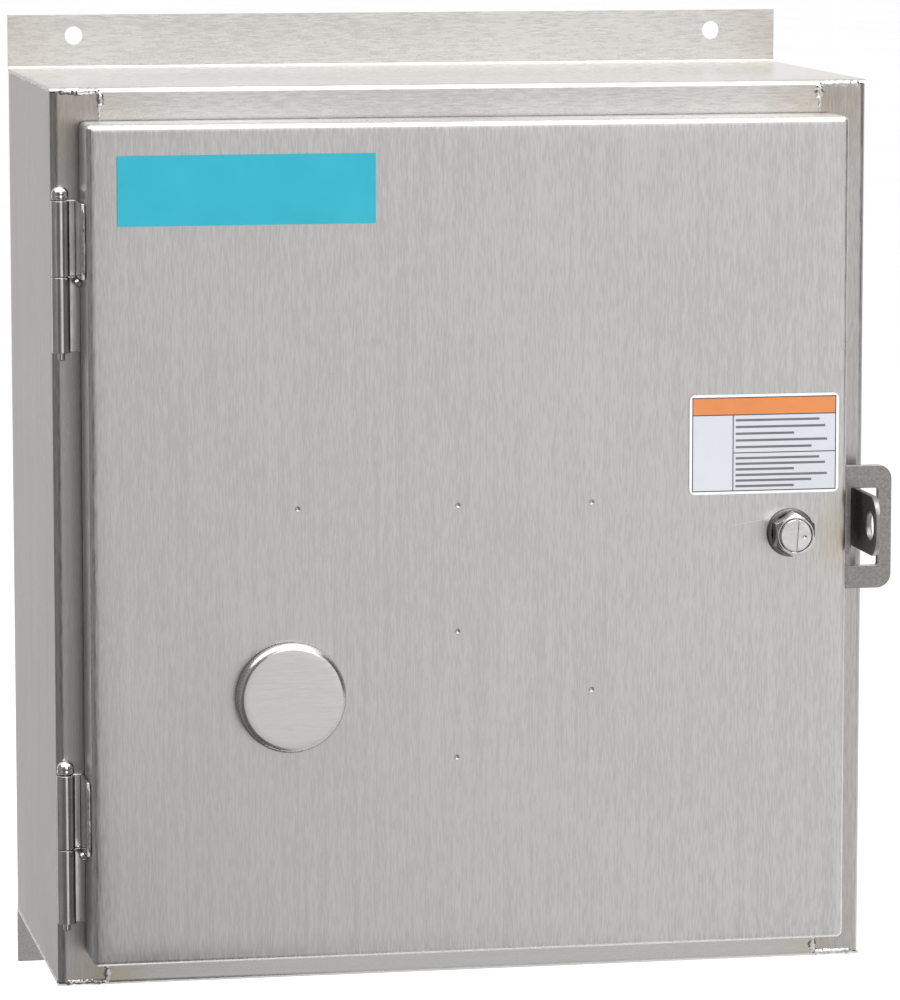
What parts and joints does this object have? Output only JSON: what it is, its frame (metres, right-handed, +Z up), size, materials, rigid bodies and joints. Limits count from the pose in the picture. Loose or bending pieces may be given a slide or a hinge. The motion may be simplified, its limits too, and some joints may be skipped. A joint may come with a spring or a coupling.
{
  "type": "fused disconnect switch",
  "caption": "Stainless wall enclosure with a padlockable hinged door and quarter-turn latch, holding a three-pole fused knife switch.",
  "frame": {"origin": "centre of the flat back face that goes against the wall", "axes": "+X to the right seen from the front, +Y into the wall, +Z up; the door faces -Y"},
  "size_m": [0.3488, 0.2033, 0.416],
  "materials": {
    "stainless": "fine brushed stainless sheet",
    "hasp_steel": "dull welded stainless, slightly mottled",
    "polished_steel": "polished stainless",
    "zinc_steel": "zinc plated steel",
    "tinned_copper": "copper with a light tin wash",
    "panel_paint": "white powder coat",
    "base_moulding": "black thermoset moulding",
    "gasket_rubber": "black foam rubber",
    "red_grip": "red moulded grip",
    "shield_plastic": "pale translucent-looking sheet",
    "fuse_fibre": "red-brown fibre tube with plain ferrules",
    "blue_label": "plain turquoise film, no lettering",
    "pale_label": "pale film with an orange band, no lettering"
  },
  "bodies": {
    "enclosure": {"enclosure_wrapper": "stainless", "top_cap": "stainless", "bottom_cap": "stainless", "back_panel": "panel_paint", "panel_nut_1": "zinc_steel", "panel_nut_2": "zinc_steel", "panel_nut_3": "zinc_steel", "panel_nut_4": "zinc_steel", "ground_bar": "tinned_copper", "ground_screw": "zinc_steel", "padlock_ear": "hasp_steel", "hinge_frame_leaf_upper": "polished_steel", "hinge_frame_leaf_lower": "polished_steel", "hinge_pin_upper": "polished_steel", "hinge_pin_lower": "polished_steel", "switch_base": "base_moulding", "base_screw_1": "zinc_steel", "base_screw_2": "zinc_steel", "line_terminal_1": "tinned_copper", "line_terminal_2": "tinned_copper", "line_terminal_3": "tinned_copper", "line_screw_1": "zinc_steel", "line_screw_2": "zinc_steel", "line_screw_3": "zinc_steel", "hinge_clip_1": "tinned_copper", "hinge_clip_2": "tinned_copper", "hinge_clip_3": "tinned_copper", "load_terminal_1": "tinned_copper", "load_terminal_2": "tinned_copper", "load_terminal_3": "tinned_copper", "load_screw_1": "zinc_steel", "load_screw_2": "zinc_steel", "load_screw_3": "zinc_steel", "fuse_1": "fuse_fibre", "fuse_2": "fuse_fibre", "fuse_3": "fuse_fibre", "line_shield": "shield_plastic"},
    "door": {"door_panel": "stainless", "door_gasket": "gasket_rubber", "hinge_door_leaf_upper": "polished_steel", "hinge_door_leaf_lower": "polished_steel", "hasp_plate": "hasp_steel", "plug_cap": "polished_steel", "plug_gasket": "gasket_rubber", "plug_retainer": "zinc_steel", "plug_nut": "zinc_steel", "latch_housing": "polished_steel", "latch_washer": "polished_steel", "latch_nut": "zinc_steel", "brand_label": "blue_label", "caution_label": "pale_label"},
    "latch": {"latch_core": "polished_steel", "latch_cam": "zinc_steel", "cam_screw": "zinc_steel"},
    "rotor": {"blade_1": "tinned_copper", "blade_2": "tinned_copper", "blade_3": "tinned_copper", "crossbar": "base_moulding", "handle_lever": "zinc_steel", "handle_grip": "red_grip"}
  },
  "joints": [
    {"name": "door_hinge", "type": "hinge", "parent": "enclosure", "child": "door", "pos_m": [-0.1668, -0.1641, 0], "axis": [0, 0, -1], "range_deg": [0, 180]},
    {"name": "latch_turn", "type": "hinge", "parent": "door", "child": "latch", "pos_m": [0.1317, -0.19, 0.0001], "axis": [0, -1, 0], "range_deg": [0, 90]},
    {"name": "switch_throw", "type": "hinge", "parent": "enclosure", "child": "rotor", "pos_m": [0, -0.04, 0.005], "axis": [-1, 0, 0], "range_deg": [0, 60]}
  ]
}
